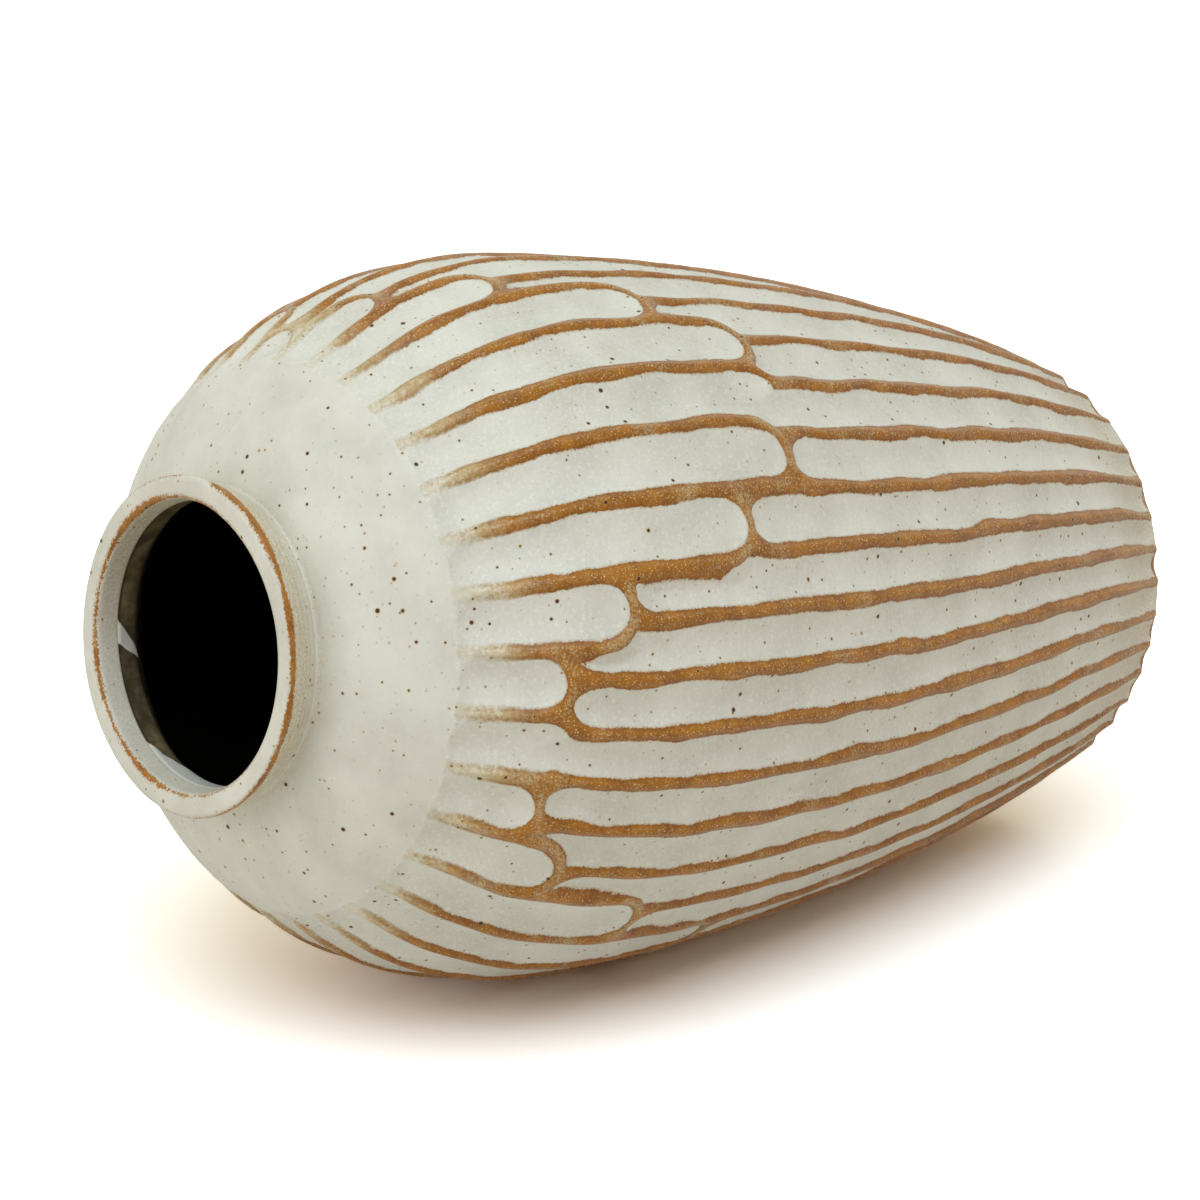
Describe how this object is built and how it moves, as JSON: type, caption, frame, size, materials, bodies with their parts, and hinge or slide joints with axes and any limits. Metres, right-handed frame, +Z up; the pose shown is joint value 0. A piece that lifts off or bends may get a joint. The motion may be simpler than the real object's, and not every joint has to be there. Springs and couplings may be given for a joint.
{
  "type": "ceramic vase",
  "caption": "Round high-shouldered stoneware vase with a short flat-lipped collar, two bands of long carved flutes and a narrow foot ring.",
  "frame": {"origin": "centre of the foot ring's underside", "axes": "+Z up along the vase's axis, from the foot to the mouth; +X to the side that lies uppermost in the picture"},
  "size_m": [0.1669, 0.1675, 0.26],
  "materials": {
    "body_glaze": "satin off-white glaze on stoneware, broken to golden brown on the ridges of the flutes, with small iron specks",
    "collar_glaze": "satin off-white glaze, thin and brown along the corners of the lip",
    "inside_glaze": "thin olive-brown glaze with runs of white",
    "foot_clay": "toasted stoneware, bare where the vase stands and glazed above"
  },
  "bodies": {
    "root": {"foot_ring": "foot_clay", "floor_disc": "inside_glaze", "lower_wall": "body_glaze", "upper_wall": "body_glaze", "shoulder_dome": "body_glaze", "neck_collar": "collar_glaze"}
  },
  "joints": []
}
